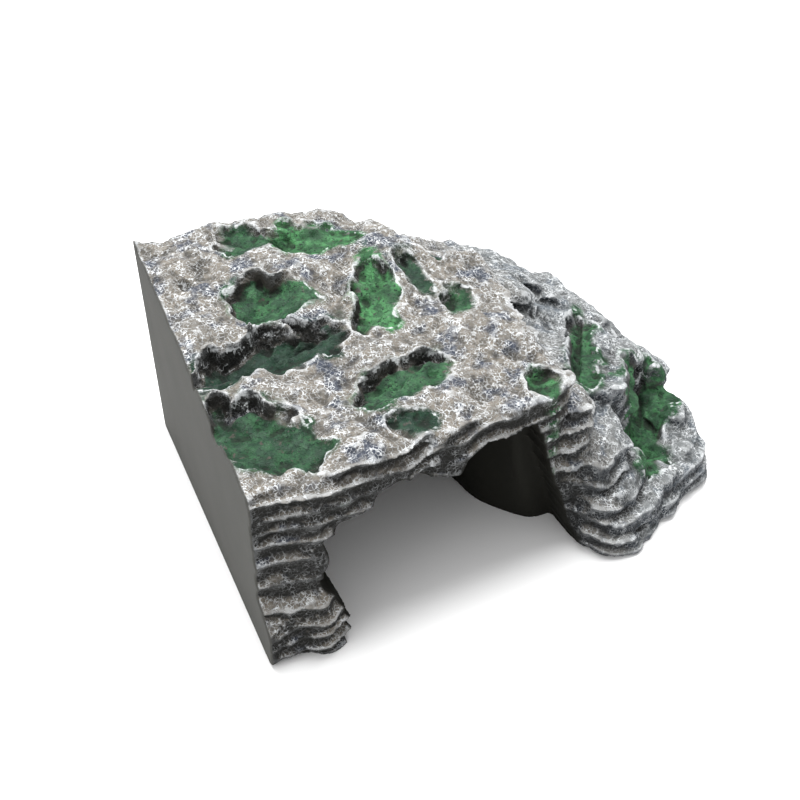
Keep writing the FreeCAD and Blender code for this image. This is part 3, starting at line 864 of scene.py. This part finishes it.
def rock_material(name):
    """Grey resin rock: dark washes and painted shade in its hollows and on its side faces, near-black painted
    shade inside the cave, green in its pits and pale paint brushed on its ridges.
    """
    material, tree, shader = new_material(name)
    fine = attribute(tree, "fine_ridge")
    inner = attribute(tree, "inner")
    flat = attribute(tree, "flat")
    in_pit = fade(tree, attribute(tree, "inset"), -0.4, 3.2)
    slope = add(tree, "SeparateXYZ", {0: add(tree, "NewGeometry").outputs["Normal"]}).outputs["Z"]
    upward = fade(tree, slope, 0.25, 0.85)
    to_right = fade(tree, add(tree, "SeparateXYZ", {0: object_place(tree)}).outputs["X"], 0.01, 0.05)
    moss = moss_cover(tree, slope)
    lines = cracks(tree, fine)
    bare = inverse(tree, greater(tree, in_pit, moss))
    # Pale paint stays mostly on faces that face up: partly where dry-brushing lands, partly painted shade on
    # the side faces.
    facing = greater(tree, upward, times(tree, to_right, 0.35))
    covers = ((blotches(tree, 5, 0.36, 0.58), 0.3), (facing, 0.2), (bare, 0.04))
    colour = mix(tree, moss, wash_and_shade_colour(tree, upward, to_right, in_pit), moss_colour(tree))
    # Painted shade over a dark wash: broad hollows in the rock are darkened toward near black.
    broad_hollow = fade(tree, attribute(tree, "broad_ridge"), -0.2, -1.1)
    colour = mix(tree, times(tree, broad_hollow, 0.6), colour, HOLLOW_WASH_AND_SHADE)
    # Painted shade over a dark wash: the fine hollows between the ridges are darkened to charcoal.
    colour = mix(tree, times(tree, fade(tree, fine, 0.0, -0.16), 0.5), colour, CHARCOAL)
    colour = mix(tree, brushed_paint(tree, lines, fine, covers), colour, PALE)
    # Painted shade: the inner walls of the cave and the pocket are made nearly black, far darker than the
    # resin, for the shade inside.
    colour = mix(tree, inner, colour, CAVE_INSIDE_SHADE)
    colour = mix(tree, flat, colour, mix(tree, noise_value(tree, 20, 5), RESIN_DARK, RESIN_LIGHT))
    tree.links.new(colour, shader.inputs["Base Color"])
    shader.inputs["Roughness"].default_value = 0.85
    shader.inputs["Specular IOR Level"].default_value = 0.15
    grain = calculate(tree, "ADD", lines, noise_value(tree, 1.0, 4))
    grain = times(tree, grain, inverse(tree, times(tree, greater(tree, flat, inner), 0.9)))
    bump = add(tree, "Bump", {"Height": grain, "Distance": 0.3 * MM, "Strength": 0.9})
    tree.links.new(bump.outputs["Normal"], shader.inputs["Normal"])
    return material


# ---- studio ----

MODEL_MIDDLE = Vector((0, 0, 0.03))


def aimed(name, data, where, direction):
    """A light or a camera that looks in a direction."""
    holder = bpy.data.objects.new(name, data)
    holder.location = where
    holder.rotation_euler = Vector(direction).to_track_quat("-Z", "Y").to_euler()
    bpy.context.collection.objects.link(holder)
    return holder


def light(name, where, size, energy):
    """A square soft light aimed at the model."""
    lamp = bpy.data.lights.new(name, "AREA")
    lamp.size = size
    lamp.energy = energy
    aimed(name, lamp, where, MODEL_MIDDLE - Vector(where))


def studio():
    """Pale floor, white surroundings, one large soft light over the back and a weak one from the left."""
    half = 4.0
    corners = [(-half, -half, 0), (half, -half, 0), (half, half, 0), (-half, half, 0)]
    mesh = bpy.data.meshes.new("floor")
    mesh.from_pydata(corners, [], [(0, 1, 2, 3)])
    floor = bpy.data.objects.new("floor", mesh)
    bpy.context.collection.objects.link(floor)
    material, _, shader = new_material("floor_paper")
    shader.inputs["Base Color"].default_value = (0.96, 0.96, 0.96, 1)
    shader.inputs["Roughness"].default_value = 0.9
    mesh.materials.append(material)
    world = bpy.data.worlds.new("surroundings")
    world.use_nodes = True
    background = world.node_tree.nodes["Background"]
    background.inputs["Color"].default_value = (1, 1, 1, 1)
    background.inputs["Strength"].default_value = 0.82
    bpy.context.scene.world = world
    light("key_light", (0.05, 0.3, 1.2), 0.8, 24)
    light("left_fill", (-1.0, -0.2, 0.6), 0.9, 3)


def camera():
    """The camera at the photograph's viewing angle."""
    lens = bpy.data.cameras.new("camera")
    lens.lens = 47.5
    lens.sensor_width = 36
    bpy.context.scene.camera = aimed("camera", lens, (-0.1597, -0.2982, 0.2968), (0.3255, 0.7177, -0.6157))


for material_name, make_pieces in (("painted_rock", rock_pieces), ("moss", moss_pieces)):
    rock = rock_material(material_name)
    for made_piece in make_pieces():
        made_piece.data.materials.append(rock)
studio()
camera()
bpy.context.scene.view_settings.view_transform = "Standard"
